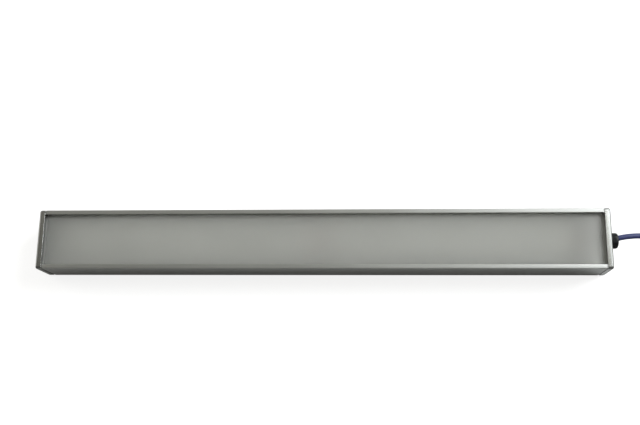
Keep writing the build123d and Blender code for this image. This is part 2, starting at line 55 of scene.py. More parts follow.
# --- The light's own sizes, in metres ---
MM = 0.001
HALF_LENGTH = 300 * MM
HOUSING_LENGTH = 585 * MM
FRONT_HEIGHT = 42 * MM
HOUSING_HALF_WIDTH = 31.5 * MM
CAP_HALF_WIDTH = 31.8 * MM
PORT_Y = 26.69 * MM
PORT_LOW, PORT_HIGH = 4.2 * MM, 28.49 * MM
BOARD_MIDDLE = 138 * MM
BOARD_TOP = 13.5 * MM
BOARD_ROW_LENGTH = 240 * MM
BOARD_SCREW_Y = 16.39 * MM
LED_ROW_Y = 10 * MM
CAP_EDGE, NUT_EDGE = 0.2 * MM, 0.3 * MM

SHARP_ANGLE = 35  # degrees between faces, from which an edge counts as sharp
WELD_DISTANCE = 0.002 * MM  # within which the corners of a CAD node's triangles are joined
SAME_PLACE = 0.001 * MM  # within which two points of the housing's section are one
SAME_CORNER = 0.0001 * MM  # the same for the corners of a turned or lofted piece

# The camera, as fitted to the light's outline: its place from the middle of the front face.
FOCAL_PIXELS, PICTURE_WIDTH = 884.14, 640
CAMERA_TURN = (("Z", -0.7135), ("X", -13.6517), ("Y", -3.9806))
CAMERA_PLACE = Vector((1.387, 27.116, 920.184)) * MM

# The cable's route, as its solids have it.
CABLE_DIAMETER = 5.7 * MM
CABLE_LENGTH = 964 * MM
CORE_LAY = 45 * MM  # along the cable, for one turn of its cores
LEAD_ROUTE = (
    (290.0, 0.5, 25.0), (299.1, 0.5, 25.0), (316.5, 5.0, 25.0), (335.0, 6.6, 22.5),
    (351.0, 7.0, 12.5), (375.0, 6.5, 4.1),
)
TAIL_ROUTE = ((406.5, 3.3, 10.5), (418.5, 6.3, 7.4), (429.5, 9.5, 7.4))
COIL_START = Vector((395.0, 6.5, 4.1)) * MM
COIL_OUTER_RADIUS = 40.4 * MM
COIL_PITCH = 6.4 * MM
COIL_TURNS_IN = 2.0
COIL_TURNS = 4.0
COIL_POINTS_PER_TURN = 16
COIL_MIDDLE = COIL_START - Vector((0, COIL_OUTER_RADIUS, 0))
PLUG_ORIGIN = Vector(TAIL_ROUTE[-1]) * MM
PLUG_HEADING = (Vector(TAIL_ROUTE[-1]) - Vector(TAIL_ROUTE[-2])).normalized()


# --- Node helpers ---
def feed(tree, socket, value):
    """Set a socket to a constant, or link it to the socket that feeds it."""
    if isinstance(value, bpy.types.NodeSocket):
        tree.links.new(value, socket)
    else:
        socket.default_value = value


def add_node(tree, kind, inputs=None, **settings):
    """A new node with its settings and inputs."""
    made = tree.nodes.new(kind)
    for name, value in settings.items():
        setattr(made, name, value)
    for key, value in (inputs or {}).items():
        feed(tree, made.inputs[key], value)
    return made


def calc(tree, operation, first, second=0.0, third=0.0):
    """The result of one Math node."""
    made = add_node(tree, "ShaderNodeMath", operation=operation)
    for socket, value in zip(made.inputs, (first, second, third)):
        feed(tree, socket, value)
    return made.outputs[0]


def blend_colour(tree, share, first, second):
    """The result of one colour Mix node."""
    made = add_node(tree, "ShaderNodeMix", data_type="RGBA")
    for index, value in ((0, share), (6, first), (7, second)):
        feed(tree, made.inputs[index], value)
    return made.outputs[2]


def step_over(tree, value, low, high, to_low=0.0, to_high=1.0):
    """A smooth step, from to_low where value is low to to_high where it is high."""
    return add_node(
        tree, "ShaderNodeMapRange",
        {"Value": value, "From Min": low, "From Max": high, "To Min": to_low, "To Max": to_high},
        interpolation_type="SMOOTHSTEP",
    ).outputs["Result"]


def noise(tree, vector, scale, detail=2.0, roughness=0.5, distortion=0.0):
    """The value of a Noise node."""
    return add_node(
        tree, "ShaderNodeTexNoise",
        {"Vector": vector, "Scale": scale, "Detail": detail, "Roughness": roughness,
         "Distortion": distortion},
    ).outputs[0]


def shaded(colour, factor):
    """A lighter or darker version of the colour."""
    return tuple(min(1.0, part * factor) for part in colour[:3]) + (1.0,)


# --- Shader node groups ---
FLOAT, VECTOR, WHOLE = "NodeSocketFloat", "NodeSocketVector", "NodeSocketInt"
SHAPE, OBJECT, ROTATION, MATERIAL = (
    "NodeSocketGeometry", "NodeSocketObject", "NodeSocketRotation", "NodeSocketMaterial")


def new_tree(name, kind, inputs, outputs):
    """An empty node tree with named sockets, what it is given, and what it passes on."""
    tree = bpy.data.node_groups.new(name, kind)
    for in_out, sockets in (("INPUT", inputs), ("OUTPUT", outputs)):
        for socket_name, socket_type, *default in sockets:
            made = tree.interface.new_socket(
                name=socket_name, in_out=in_out, socket_type=socket_type)
            if default:
                made.default_value = default[0]
    given, result = tree.nodes.new("NodeGroupInput"), tree.nodes.new("NodeGroupOutput")
    return tree, given.outputs, result.inputs


def make_grain_group():
    """Fine drawn lines along one axis, with broader streaks between them."""
    group, given, result = new_tree(
        "Drawn Grain", "ShaderNodeTree",
        (("Vector", VECTOR), ("Line Scale", VECTOR, (12, 3800, 3800)),
         ("Streak Scale", VECTOR, (3, 260, 260))),
        (("Grain", FLOAT), ("Streak", FLOAT)),
    )
    for socket, out, detail in (("Line Scale", "Grain", 3.0), ("Streak Scale", "Streak", 2.0)):
        at = add_node(
            group, "ShaderNodeVectorMath", {0: given["Vector"], 1: given[socket]},
            operation="MULTIPLY",
        ).outputs[0]
        group.links.new(noise(group, at, 1.0, detail, 0.6), result[out])
    return group


def make_mottle_group():
    """Soft cloudy variation on two scales."""
    group, given, result = new_tree(
        "Soft Mottle", "ShaderNodeTree",
        (("Vector", VECTOR), ("Broad Scale", FLOAT, 14.0), ("Fine Scale", FLOAT, 240.0),
         ("Fine Share", FLOAT, 0.35)),
        (("Value", FLOAT),),
    )
    broad = noise(group, given["Vector"], given["Broad Scale"], 2.0)
    fine = noise(group, given["Vector"], given["Fine Scale"], 3.0, 0.6)
    mixed = add_node(group, "ShaderNodeMix", data_type="FLOAT")
    for index, value in ((0, given["Fine Share"]), (2, broad), (3, fine)):
        feed(group, mixed.inputs[index], value)
    group.links.new(mixed.outputs[0], result["Value"])
    return group


def make_dust_group():
    """Specks and a thin film of dust on faces that look up."""
    group, given, result = new_tree(
        "Settled Dust", "ShaderNodeTree",
        (("Vector", VECTOR), ("Scale", FLOAT, 900.0), ("Amount", FLOAT, 0.3)),
        (("Mask", FLOAT),),
    )
    normal = add_node(group, "ShaderNodeNewGeometry").outputs["Normal"]
    up = add_node(group, "ShaderNodeSeparateXYZ", {0: normal}).outputs["Z"]
    specks = step_over(
        group, noise(group, given["Vector"], given["Scale"], 4.0, 0.7), 0.56, 0.74)
    film = step_over(group, noise(group, given["Vector"], 22.0, 3.0), 0.42, 0.72, 0.0, 0.5)
    both = calc(group, "MAXIMUM", specks, film)
    facing = step_over(group, up, 0.1, 0.9)
    mask = calc(group, "MULTIPLY", calc(group, "MULTIPLY", both, facing), given["Amount"])
    group.links.new(mask, result["Mask"])
    return group


def make_rim_group():
    """A mask along the edges of a box, broken up by noise, where handling wears a surface; left
    unbroken, it also marks where a rounded rim is painted darker as painted shade.
    """
    group, given, result = new_tree(
        "Worn Rims", "ShaderNodeTree",
        (("Vector", VECTOR), ("Centre", VECTOR, (0, 0, 0)), ("Half Size", VECTOR, (1, 1, 1)),
         ("Width", FLOAT, 0.001), ("Break Up", FLOAT, 500.0), ("Least", FLOAT, 0.25)),
        (("Mask", FLOAT),),
    )
    off = given["Vector"]
    for operation, second in (
        ("SUBTRACT", given["Centre"]), ("ABSOLUTE", None), ("SUBTRACT", given["Half Size"]),
    ):
        values = {0: off} if second is None else {0: off, 1: second}
        off = add_node(group, "ShaderNodeVectorMath", values, operation=operation).outputs[0]
    parts = add_node(group, "ShaderNodeSeparateXYZ", {0: off}).outputs
    width = calc(group, "MULTIPLY", given["Width"], -1.0)
    near = [step_over(group, part, width, 0.0) for part in parts]
    pairs = [calc(group, "MULTIPLY", near[a], near[b]) for a, b in ((0, 1), (1, 2), (0, 2))]
    rim = calc(group, "MAXIMUM", pairs[0], calc(group, "MAXIMUM", pairs[1], pairs[2]))
    specks = noise(group, given["Vector"], given["Break Up"], 3.0, 0.6)
    broken = step_over(group, specks, 0.3, 0.65, given["Least"])
    group.links.new(calc(group, "MULTIPLY", rim, broken), result["Mask"])
    return group


def use_group(tree, name, inputs=None):
    """The outputs of a shared node group placed in the tree."""
    return add_node(tree, "ShaderNodeGroup", inputs, node_tree=named_tree(name)).outputs


# --- Materials ---
def start_material(name, **constants):
    """A material with its Principled shader, and the object coordinates that its nodes read."""
    material = bpy.data.materials.new(name)
    material.use_nodes = True
    tree = material.node_tree
    shader = tree.nodes["Principled BSDF"]
    for key, value in constants.items():
        shader.inputs[key.replace("_", " ")].default_value = value
    place = add_node(tree, "ShaderNodeTexCoord").outputs["Object"]
    return material, tree, shader, place


def set_surface(tree, shader, base, rough):
    """Link the surface's colour and roughness."""
    tree.links.new(base, shader.inputs["Base Color"])
    tree.links.new(rough, shader.inputs["Roughness"])


def set_bump(tree, shader, height, strength, distance):
    """Raise the surface by a height map."""
    bump = add_node(
        tree, "ShaderNodeBump", {"Height": height, "Strength": strength, "Distance": distance}
    )
    tree.links.new(bump.outputs[0], shader.inputs["Normal"])


def cloudy(tree, vector, broad, fine=240.0, fine_share=0.35):
    """Soft cloudy variation over a surface."""
    return use_group(tree, "Soft Mottle", {
        "Vector": vector, "Broad Scale": broad, "Fine Scale": fine, "Fine Share": fine_share,
    })["Value"]


def dusty(tree, vector, amount, scale=900.0):
    """Where dust lies on a surface."""
    return use_group(
        tree, "Settled Dust", {"Vector": vector, "Scale": scale, "Amount": amount})["Mask"]


def varied(tree, share, colour, low, high):
    """The colour, from darker to lighter with the share."""
    return blend_colour(tree, share, shaded(colour, low), shaded(colour, high))


def aluminium(name, colour, line_scale, streak_scale, roughness, half_size, rim):
    """Satin anodised aluminium: drawn grain, faint streaks, light dust, and rims of their own
    tone: brighter as wear, darker as painted shade.
    """
    material, tree, shader, place = start_material(name, Metallic=1.0)
    grain = use_group(tree, "Drawn Grain", {
        "Vector": place, "Line Scale": line_scale, "Streak Scale": streak_scale})
    smudge = cloudy(tree, place, 17.0, 130.0, 0.3)
    dust = dusty(tree, place, 0.10)
    tone = calc(tree, "ADD", calc(tree, "MULTIPLY", grain["Grain"], 0.45),
                calc(tree, "MULTIPLY", grain["Streak"], 0.55))
    base = varied(tree, tone, colour, 0.93, 1.06)
    rough = calc(tree, "MULTIPLY_ADD", grain["Grain"], 0.07, roughness - 0.06)
    rough = calc(tree, "MULTIPLY_ADD", smudge, 0.06, rough)
    rim_width, rim_wear_shade_tone, rim_rougher, rim_least = rim
    # Along the rims the colour shifts to the rim tone: brighter as wear on the housing, darker as
    # painted shade on the end caps' rounded rims.
    edge = use_group(tree, "Worn Rims", {
        "Vector": place, "Centre": (0, 0, FRONT_HEIGHT / 2), "Half Size": half_size,
        "Width": rim_width, "Least": rim_least})["Mask"]
    base = blend_colour(tree, edge, base, shaded(colour, rim_wear_shade_tone))
    rough = calc(tree, "MULTIPLY_ADD", edge, rim_rougher, rough)
    base = blend_colour(tree, dust, base, (0.42, 0.41, 0.39, 1))
    set_surface(tree, shader, base, calc(tree, "MULTIPLY_ADD", dust, 0.5, rough))
    set_bump(tree, shader, grain["Grain"], 0.12, 0.00001)
    return material


def cap_aluminium(name, colour, rim_wear_shade_tone, rim_rougher):
    """The aluminium of an end cap, cross-grained and rougher on its rounded rim, whose colour is
    painted darker as painted shade that dims the softbox's highlight there.
    """
    return aluminium(
        name, shaded(colour, 0.98), (4200, 40, 4200), (300, 9, 300), 0.24,
        (HALF_LENGTH, CAP_HALF_WIDTH, FRONT_HEIGHT / 2), (4.0 * MM, rim_wear_shade_tone, rim_rougher, 1.0))


def opal_sheet(name, colour):
    """Frosted opal sheet, unlit: most light passes through to the boards. Its ends are painted
    paler as painted light, strongly at the right end and slightly at the left.
    """
    material, tree, shader, place = start_material(name, Specular_IOR_Level=0.6, IOR=1.49)
    mottle = cloudy(tree, place, 21.0, 420.0, 0.25)
    dust = dusty(tree, place, 0.08, 1500.0)
    base = varied(tree, mottle, colour, 0.94, 1.06)
    along = add_node(tree, "ShaderNodeSeparateXYZ", {0: place}).outputs["X"]
    # Painted light: the colour is lifted towards the right end, where the end cap shades the
    # sheet, and a little at the left end.
    painted_end_light = calc(tree, "ADD", step_over(tree, along, 0.262, 0.291),
                step_over(tree, along, -0.29, -0.25, 0.1, 0.0))
    base = blend_colour(tree, painted_end_light, base, shaded(colour, 1.85))
    base = blend_colour(tree, dust, base, shaded(colour, 1.35))
    set_surface(tree, shader, base, calc(tree, "MULTIPLY_ADD", mottle, 0.16, 0.42))
    set_bump(tree, shader, noise(tree, place, 5200.0, 2.0), 0.18, 0.00002)
    passed = add_node(tree, "ShaderNodeBsdfTranslucent", {"Color": (0.963, 0.962, 0.952, 1)})
    both = add_node(
        tree, "ShaderNodeMixShader", {0: 0.8, 1: shader.outputs[0], 2: passed.outputs[0]})
    tree.links.new(both.outputs[0], tree.nodes["Material Output"].inputs["Surface"])
    return material


def moulded(name, colour, roughness=0.45, grain_scale=2600.0, variation=0.12, dust_amount=0.12,
            bump=0.25, depth=0.00002, **constants):
    """Moulded plastic or rubber: fine spark-eroded grain, slight tone changes and dust."""
    material, tree, shader, place = start_material(name, **constants)
    mottle = cloudy(tree, place, 60.0, 900.0, 0.5)
    grain = noise(tree, place, grain_scale, 2.0, 0.6)
    dust = dusty(tree, place, dust_amount, 1400.0)
    base = varied(tree, mottle, colour, 1 - variation, 1 + variation)
    base = blend_colour(tree, dust, base, (0.36, 0.35, 0.33, 1))
    rough = calc(tree, "MULTIPLY_ADD", grain, 0.16, roughness - 0.08)
    set_surface(tree, shader, base, calc(tree, "MULTIPLY_ADD", dust, 0.4, rough))
    set_bump(tree, shader, grain, bump, depth)
    return material


def bright_metal(name, colour, roughness=0.25, scale=(900, 900, 900), variation=0.08):
    """Plated or bare metal with fine tool marks and slight tarnish."""
    material, tree, shader, place = start_material(name, Metallic=1.0)
    stretched = add_node(tree, "ShaderNodeMapping", {"Vector": place, "Scale": scale}).outputs[0]
    marks = noise(tree, stretched, 1.0, 3.0, 0.6)
    tarnish = cloudy(tree, place, 120.0, 700.0, 0.4)
    rough = calc(tree, "ADD", calc(tree, "MULTIPLY_ADD", marks, 0.12, roughness - 0.08),
                 calc(tree, "MULTIPLY", tarnish, 0.06))
    set_surface(
        tree, shader, varied(tree, tarnish, colour, 1 - variation, 1 + variation), rough)
    set_bump(tree, shader, marks, 0.15, 0.00001)
    return material


def cable_jacket(name, colour):
    """Blue-violet jacket: a faint lay of the cores under it, extruder lines and scuffs."""
    material, tree, shader, place = start_material(name, Specular_IOR_Level=0.2)
    laid = add_node(tree, "ShaderNodeTexCoord").outputs["UV"]
    along, across = add_node(tree, "ShaderNodeSeparateXYZ", {0: laid}).outputs[:2]
    turns = calc(tree, "MULTIPLY_ADD", along, tau * CABLE_LENGTH / CORE_LAY,
                 calc(tree, "MULTIPLY", across, tau * 2))
    twist = calc(tree, "SINE", turns)
    drawn = add_node(tree, "ShaderNodeCombineXYZ", {
        0: calc(tree, "MULTIPLY", along, 40.0), 1: calc(tree, "MULTIPLY", across, 60.0), 2: 0.0})
    lines = noise(tree, drawn.outputs[0], 1.0, 3.0, 0.6)
    scuffs = step_over(tree, noise(tree, place, 620.0, 4.0, 0.65, 0.6), 0.58, 0.72)
    mottle = cloudy(tree, place, 90.0, 1300.0, 0.5)
    tone = calc(tree, "MULTIPLY_ADD", lines, 0.5, calc(tree, "MULTIPLY", mottle, 0.5))
    base = varied(tree, tone, colour, 0.80, 1.22)
    base = blend_colour(tree, calc(tree, "MULTIPLY", scuffs, 0.35), base, (0.30, 0.31, 0.44, 1))
    rough = calc(tree, "MULTIPLY_ADD", mottle, 0.14, 0.36)
    set_surface(tree, shader, base, calc(tree, "MULTIPLY_ADD", scuffs, 0.2, rough))
    height = calc(tree, "MULTIPLY_ADD", twist, 0.5, calc(tree, "MULTIPLY", lines, 0.35))
    set_bump(tree, shader, height, 0.35, 0.0001)
    return material


def strap_fabric(name, colour):
    """Hook-and-loop strap: a short woven pile with sheen."""
    material, tree, shader, place = start_material(
        name, Sheen_Weight=0.35, Sheen_Roughness=0.5, Specular_IOR_Level=0.25)
    weave = add_node(tree, "ShaderNodeTexWave", {
        "Vector": place, "Scale": 420.0, "Distortion": 2.5, "Detail": 2.0, "Detail Scale": 2.0},
        wave_type="BANDS", bands_direction="Y").outputs[1]
    pile = noise(tree, place, 3800.0, 4.0, 0.75, 0.4)
    both = calc(tree, "MULTIPLY_ADD", weave, 0.4, calc(tree, "MULTIPLY", pile, 0.6))
    tree.links.new(varied(tree, both, colour, 0.45, 2.1), shader.inputs["Base Color"])
    shader.inputs["Roughness"].default_value = 0.85
    set_bump(tree, shader, both, 0.7, 0.00015)
    return material


def solder_mask(name, colour):
    """White solder mask with copper runs faintly showing, along and across the board."""
    material, tree, shader, place = start_material(name, Specular_IOR_Level=0.5)
    height = add_node(tree, "ShaderNodeSeparateXYZ", {0: place}).outputs["Z"]
    runs = add_node(tree, "ShaderNodeTexBrick", {
        "Vector": place, "Color1": (1, 1, 1, 1), "Color2": (1, 1, 1, 1), "Mortar": (0, 0, 0, 1),
        "Scale": 1.0, "Mortar Size": 0.0006, "Mortar Smooth": 0.3, "Brick Width": 0.024,
        "Row Height": 0.0085}, offset=0.5).outputs["Color"]
    mottle = cloudy(tree, place, 40.0)
    top = step_over(tree, height, BOARD_TOP - 0.4 * MM, BOARD_TOP - 0.1 * MM)
    shown = calc(tree, "MULTIPLY", runs, top)
    base = varied(tree, mottle, colour, 0.93, 1.03)
    base = blend_colour(tree, shown, shaded(colour, 0.74), base)
    base = blend_colour(tree, top, (0.55, 0.55, 0.53, 1), base)
    set_surface(tree, shader, base, calc(tree, "MULTIPLY_ADD", mottle, 0.1, 0.28))
    set_bump(tree, shader, shown, 0.4, 0.00004)
    return material


def clear_dome(name):
    """Clear silicone."""
    material, tree, shader, place = start_material(
        name, Transmission_Weight=1.0, IOR=1.41, Base_Color=(0.98, 0.97, 0.9, 1))
    rough = calc(tree, "MULTIPLY_ADD", noise(tree, place, 1500.0), 0.06, 0.03)
    tree.links.new(rough, shader.inputs["Roughness"])
    return material


def studio_floor(name, colour, glow):
    """The pale floor, with light of its own for the camera and a little for mirrored views."""
    material, tree, shader, place = start_material(name, Specular_IOR_Level=0.1, Roughness=0.9)
    shade = noise(tree, place, 3.0, 2.0)
    tree.links.new(varied(tree, shade, colour, 0.995, 1.0), shader.inputs["Base Color"])
    path = add_node(tree, "ShaderNodeLightPath").outputs
    mirrored = calc(tree, "MAXIMUM", path["Is Glossy Ray"], path["Is Transmission Ray"])
    seen = calc(tree, "MULTIPLY_ADD", mirrored, 0.03, path["Is Camera Ray"])
    shader.inputs["Emission Color"].default_value = (1, 1, 1, 1)
    tree.links.new(calc(tree, "MULTIPLY", seen, glow), shader.inputs["Emission Strength"])
    return material


def finish_library():
    """Each finish of the light by name, with the function that makes it."""
    colours = bpy.context.scene.washer_finishes
    metal, jacket = colours.aluminium, colours.cable_jacket
    return {
        "housing_aluminium": lambda n: aluminium(
            n, metal, (14, 5200, 5200), (2.5, 330, 330), 0.40,
            (1.0, HOUSING_HALF_WIDTH, FRONT_HEIGHT / 2), (0.5 * MM, 1.22, -0.08, 0.25)),
        # The end caps' rounded rims are painted darker as painted shade that dims the softbox's
        # highlight, the right cap, nearer the softbox, darker than the left.
        "left_cap_aluminium": lambda n: cap_aluminium(n, metal, 0.38, 0.12),
        "right_cap_aluminium": lambda n: cap_aluminium(n, metal, 0.2, 0.30),
        "opal_cover": lambda n: opal_sheet(n, colours.cover),
        # Two tones of one grey silicone: the darker is painted shade, the paler is painted light;
        # the paler one on the cover seals partly lifts the shade under the far lip as painted
        # light.
        "dark_silicone": lambda n: moulded(n, (0.17, 0.17, 0.165), 0.6, 1800),
        "pale_silicone": lambda n: moulded(n, (0.42, 0.425, 0.42), 0.6, 1800),
        "black_rubber": lambda n: moulded(n, (0.022, 0.022, 0.022), 0.7, 1500, dust_amount=0.2),
        "stainless_steel": lambda n: bright_metal(n, (0.60, 0.60, 0.58), 0.28),
        "solder_mask": lambda n: solder_mask(n, (0.85, 0.86, 0.84)),
        "heat_pad": lambda n: moulded(n, (0.33, 0.38, 0.42), 0.75, 1300),
        "led_ceramic": lambda n: moulded(n, (0.86, 0.85, 0.80), 0.4, 3000, 0.03, 0.0),
        "led_phosphor": lambda n: moulded(n, (0.88, 0.68, 0.10), 0.55, 6000, 0.1, 0.0),
        "led_lens": clear_dome,
        "chip_black": lambda n: moulded(n, (0.03, 0.03, 0.033), 0.5, 3200),
        "white_nylon": lambda n: moulded(n, (0.78, 0.78, 0.74), 0.45, 2200, 0.04, 0.05),
        "zinc_steel": lambda n: bright_metal(n, (0.56, 0.57, 0.58), 0.3, (260, 900, 900), 0.14),
        "black_nylon": lambda n: moulded(
            n, (0.005, 0.0055, 0.007), 0.40, 2400, 0.2, 0.02, Specular_IOR_Level=0.15),
        "cable_jacket": lambda n: cable_jacket(n, jacket),
        "red_core": lambda n: moulded(n, (0.50, 0.03, 0.03), 0.35, 2000),
        "black_core": lambda n: moulded(n, (0.02, 0.02, 0.02), 0.35, 2000),
        "black_strap": lambda n: strap_fabric(n, (0.030, 0.030, 0.032)),
        "plug_plastic": lambda n: moulded(
            n, (0.025, 0.026, 0.029), 0.42, 1700, 0.2, 0.08, 0.5, 0.00005),
        "gold_pin": lambda n: bright_metal(n, (0.80, 0.60, 0.25), 0.2),
        "nickel_nut": lambda n: bright_metal(n, (0.62, 0.60, 0.56), 0.22, (500, 500, 500), 0.1),
    }


def finish(name):
    """The named material, made on first use."""
    label = "washer_" + name
    return bpy.data.materials.get(label) or finish_library()[name](label)


# --- Mesh helpers ---
def link_object(name, data):
    """A new object in the scene."""
    made = bpy.data.objects.new(name, data)
    bpy.context.scene.collection.objects.link(made)
    return made


def add_piece(name, mesh, finish_name, replaced):
    """A finished mesh as a piece that rides on the light's body."""
    piece = link_object(name, mesh)
    mesh.materials.append(finish(finish_name))
    declare(piece, "root", replaced)


def declare(piece, body="root", replaced=()):
    """Ride the piece on the named body, and hide the CAD nodes that it stands in for."""
    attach(piece, body)
    if replaced:
        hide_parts(*replaced)


def settle(piece):
    """Make the evaluated result the piece's own plain mesh, without its modifiers."""
    graph = bpy.context.evaluated_depsgraph_get()
    mesh = bpy.data.meshes.new_from_object(
        piece.evaluated_get(graph), preserve_all_data_layers=True, depsgraph=graph)
    piece.modifiers.clear()
    piece.data = mesh
    mesh.name = piece.name


def shade_by_angle(mesh, angle=SHARP_ANGLE):
    """Smooth shading with sharp edges where faces meet at more than the angle."""
    mesh.polygons.foreach_set("use_smooth", [True] * len(mesh.polygons))
    mesh.set_sharp_from_angle(angle=radians(angle))


def round_edges(piece, width):
    """Break the piece's sharp edges with a small rounding."""
    bevel = piece.modifiers.new("Edge Break", "BEVEL")
    bevel.width, bevel.segments = width, 2
    bevel.limit_method, bevel.angle_limit = "ANGLE", radians(SHARP_ANGLE)
    bevel.harden_normals = True
    bevel.use_clamp_overlap = True


def mesh_from(bm, name, clean=True):
    """The bmesh as a mesh, closed and facing outwards."""
    if clean:
        bmesh.ops.remove_doubles(bm, verts=bm.verts, dist=SAME_CORNER)
        bmesh.ops.recalc_face_normals(bm, faces=bm.faces)
    mesh = bpy.data.meshes.new(name)
    bm.to_mesh(mesh)
    bm.free()
    return mesh


def merged_copy(node, name):
    """A copy of a CAD node's mesh, with its loose triangles joined into whole faces."""
    bm = bmesh.new()
    bm.from_mesh(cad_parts[node].data)
    bmesh.ops.remove_doubles(bm, verts=bm.verts, dist=WELD_DISTANCE)
    bmesh.ops.dissolve_limit(bm, angle_limit=radians(0.4), verts=bm.verts, edges=bm.edges)
    mesh = bpy.data.meshes.new(name)
    bm.to_mesh(mesh)
    bm.free()
    shade_by_angle(mesh)
    return mesh


def dress_node(node, name, finish_name, width, body="root"):
    """Stand in for a CAD node with its own shape, its edges broken."""
    piece = link_object(name, merged_copy(node, name))
    round_edges(piece, width)
    settle(piece)
    piece.data.materials.clear()
    piece.data.materials.append(finish(finish_name))
    declare(piece, body, [node])


def paint_nodes(**finish_names):
    """Give CAD nodes that stay their finishes."""
    for node, finish_name in finish_names.items():
        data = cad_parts[node].data
        data.materials.clear()
        data.materials.append(finish(finish_name))


def ring(radius, height, segments, sides=0):
    """Points of a circle, or of a polygon whose flats lie at that radius."""
    points = []
    for k in range(segments):
        angle = tau * k / segments
        reach = radius / cos(angle % (tau / sides) - pi / sides) if sides else radius
        points.append(Vector((reach * cos(angle), reach * sin(angle), height)))
    return points


def loft_rings(bm, rings, loop=False, matrix=Matrix.Identity(4)):
    """Faces between successive rings of equal count; the ends are closed unless it loops."""
    rows = [[bm.verts.new(matrix @ point) for point in points] for points in rings]
    count = len(rows[0])
    pairs = list(zip(rows, rows[1:])) + ([(rows[-1], rows[0])] if loop else [])
    for low, high in pairs:
        for k in range(count):
            bm.faces.new((low[k], low[(k + 1) % count], high[(k + 1) % count], high[k]))
    if not loop:
        bm.faces.new(rows[0])
        bm.faces.new(rows[-1])


def turned(name, sections, segments=32, loop=False):
    """A turned piece from (radius, height) or (radius, height, sides) sections, in mm."""
    bm = bmesh.new()
    loft_rings(bm, [
        ring(radius * MM, height * MM, segments, *sides) for radius, height, *sides in sections
    ], loop)
    mesh = mesh_from(bm, name)
    shade_by_angle(mesh)
    return mesh


def along_axis(origin, heading):
    """The matrix that carries +Z to a heading at a place, with +X kept level."""
    z = heading.normalized()
    x = Vector((0, 0, 1)).cross(z).normalized() if abs(z.z) < 0.99 else Vector((1, 0, 0))
    y = z.cross(x)
    turn = Matrix((x, y, z)).transposed().to_4x4()
    return Matrix.Translation(origin) @ turn


# --- Geometry node trees ---
def new_shape_tree(name, inputs):
    """An empty geometry node tree with inputs beside its geometry."""
    return new_tree(
        name, "GeometryNodeTree", (("Geometry", SHAPE), *inputs, ("Material", MATERIAL)),
        (("Geometry", SHAPE),))


def end_tree(tree, geometry, given, result):
    """Close a tree with Realize Instances and Set Material."""
    real = add_node(tree, "GeometryNodeRealizeInstances", {0: geometry}).outputs[0]
    dressed = add_node(
        tree, "GeometryNodeSetMaterial", {"Geometry": real, "Material": given["Material"]})
    tree.links.new(dressed.outputs[0], result[0])
    return tree


def upright(tree, value):
    """A vector along Z."""
    return add_node(tree, "ShaderNodeCombineXYZ", {0: 0.0, 1: 0.0, 2: value}).outputs[0]


def turn_by_index(tree, step):
    """A turn about Z that grows by a step from one instance to the next."""
    index = add_node(tree, "GeometryNodeInputIndex").outputs[0]
    return upright(tree, calc(tree, "MULTIPLY", index, step))


def make_rows_tree():
    """A piece repeated on a grid, and the whole grid repeated round the light's upright axis."""
    tree, given, result = new_shape_tree("Piece Rows", (
        ("Piece", OBJECT), ("Columns", WHOLE, 2), ("Rows", WHOLE, 2), ("Length", FLOAT, 0.1),
        ("Width", FLOAT, 0.1), ("Grid Turn", ROTATION), ("Centre", VECTOR, (0, 0, 0)),
        ("Copies", WHOLE, 2), ("Copy Turn", FLOAT, pi)))
    source = add_node(tree, "GeometryNodeObjectInfo", {"Object": given["Piece"]})
    grid = add_node(tree, "GeometryNodeMeshGrid", {
        "Size X": given["Length"], "Size Y": given["Width"],
        "Vertices X": given["Columns"], "Vertices Y": given["Rows"]})
    spots = add_node(tree, "GeometryNodeInstanceOnPoints", {
        "Points": grid.outputs["Mesh"], "Instance": source.outputs["Geometry"]})
    placed = add_node(tree, "GeometryNodeTransform", {
        "Geometry": spots.outputs[0], "Translation": given["Centre"],
        "Rotation": given["Grid Turn"]})
    bundle = add_node(tree, "GeometryNodeGeometryToInstance", {0: placed.outputs[0]})
    axis = add_node(tree, "GeometryNodeMeshLine", {
        "Count": given["Copies"], "Offset": (0, 0, 0)})
    copies = add_node(tree, "GeometryNodeInstanceOnPoints", {
        "Points": axis.outputs["Mesh"], "Instance": bundle.outputs[0],
        "Rotation": turn_by_index(tree, given["Copy Turn"])})
    return end_tree(tree, copies.outputs[0], given, result)


def make_section_tree():
    """A flat section drawn out along the light into a closed extrusion."""
    tree, given, result = new_shape_tree("Drawn Section", (("Length", FLOAT, HOUSING_LENGTH),))
    way = add_node(tree, "ShaderNodeCombineXYZ", {0: given["Length"], 1: 0.0, 2: 0.0})
    drawn = add_node(tree, "GeometryNodeExtrudeMesh", {
        "Mesh": given["Geometry"], "Offset": way.outputs[0], "Offset Scale": 1.0,
        "Individual": False}, mode="FACES")
    start = add_node(tree, "GeometryNodeFlipFaces", {0: given["Geometry"]})
    joined = tree.nodes.new("GeometryNodeJoinGeometry")
    tree.links.new(drawn.outputs["Mesh"], joined.inputs[0])
    tree.links.new(start.outputs[0], joined.inputs[0])
    welded = add_node(tree, "GeometryNodeMergeByDistance", {
        "Geometry": joined.outputs[0], "Distance": SAME_PLACE})
    return end_tree(tree, welded.outputs[0], given, result)


